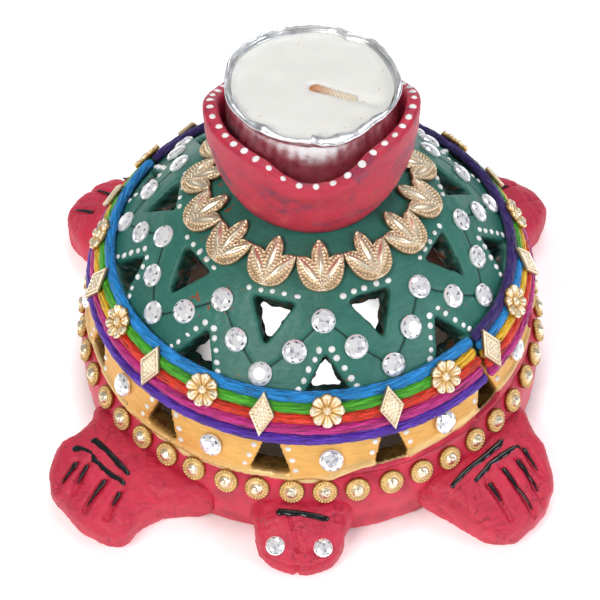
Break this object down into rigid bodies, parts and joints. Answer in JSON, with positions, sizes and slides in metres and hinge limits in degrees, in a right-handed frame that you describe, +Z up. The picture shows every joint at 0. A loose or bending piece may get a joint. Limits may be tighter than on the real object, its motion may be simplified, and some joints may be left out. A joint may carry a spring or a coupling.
{
  "type": "diya oil lamp",
  "caption": "Pierced clay diya shaped like a tortoise: a domed open-bottomed shell on a ring with head and flippers, and a spouted bowl on top holding a tealight.",
  "frame": {"origin": "on the shell's upright axis, at the height of the surface it stands on", "axes": "+Z up; the head looks along -Y and the tail along +Y; +X is to the right of someone who faces the head"},
  "size_m": [0.1278, 0.1401, 0.0909],
  "materials": {
    "red_clay": "brick-red poster paint on terracotta, matt",
    "green_clay": "sea-green poster paint on terracotta, matt",
    "gold_clay": "old-gold metallic paint on terracotta, satin",
    "cord_blue": "twisted silk thread with a sheen",
    "cord_dark_purple": "twisted silk thread with a sheen",
    "cord_green": "twisted silk thread with a sheen",
    "cord_red": "twisted silk thread with a sheen",
    "cord_yellow": "twisted silk thread with a sheen",
    "cord_magenta": "twisted silk thread with a sheen",
    "cord_violet": "twisted silk thread with a sheen",
    "cord_pink": "twisted silk thread with a sheen",
    "gilt_trim": "stamped and gilt, bright",
    "crystal": "foil-backed cut glass, bright",
    "foil": "thin bright aluminium sheet",
    "candle_wax": "white paraffin wax, smooth",
    "cotton": "waxed braided cotton",
    "tin": "tin plate"
  },
  "bodies": {
    "lamp": {"base_ring": "red_clay", "waist_band": "gold_clay", "dome_shell": "green_clay", "diya_bowl": "red_clay", "head": "red_clay", "flipper_front_left": "red_clay", "flipper_front_right": "red_clay", "flipper_back_left": "red_clay", "flipper_back_right": "red_clay", "tail": "red_clay", "eye_left": "crystal", "eye_right": "crystal", "cord_blue": "cord_blue", "cord_dark_purple": "cord_dark_purple", "cord_green": "cord_green", "cord_red": "cord_red", "cord_yellow": "cord_yellow", "cord_magenta": "cord_magenta", "cord_violet": "cord_violet", "cord_pink": "cord_pink", "leaf_1": "gilt_trim", "leaf_2": "gilt_trim", "leaf_3": "gilt_trim", "leaf_4": "gilt_trim", "leaf_5": "gilt_trim", "leaf_6": "gilt_trim", "leaf_7": "gilt_trim", "leaf_8": "gilt_trim", "leaf_9": "gilt_trim", "leaf_10": "gilt_trim", "leaf_11": "gilt_trim", "leaf_12": "gilt_trim", "leaf_13": "gilt_trim", "leaf_14": "gilt_trim", "flower_1": "gilt_trim", "flower_2": "gilt_trim", "flower_3": "gilt_trim", "flower_4": "gilt_trim", "flower_5": "gilt_trim", "flower_6": "gilt_trim", "flower_7": "gilt_trim", "flower_8": "gilt_trim", "flower_9": "gilt_trim", "flower_10": "gilt_trim", "flower_11": "gilt_trim", "diamond_1": "gilt_trim", "diamond_2": "gilt_trim", "diamond_3": "gilt_trim", "diamond_4": "gilt_trim", "diamond_5": "gilt_trim", "diamond_6": "gilt_trim", "diamond_7": "gilt_trim", "diamond_8": "gilt_trim", "diamond_9": "gilt_trim", "diamond_10": "gilt_trim", "diamond_11": "gilt_trim"},
    "tealight": {"tealight_cup": "foil"},
    "candle": {"wax": "candle_wax", "wick": "cotton", "wick_sustainer": "tin"}
  },
  "joints": [
    {"name": "tealight_lift", "type": "slide", "parent": "lamp", "child": "tealight", "axis": [0, 0, 1], "range_m": [0, 0.05]},
    {"name": "candle_lift", "type": "slide", "parent": "tealight", "child": "candle", "axis": [0, 0, 1], "range_m": [0, 0.03]}
  ]
}
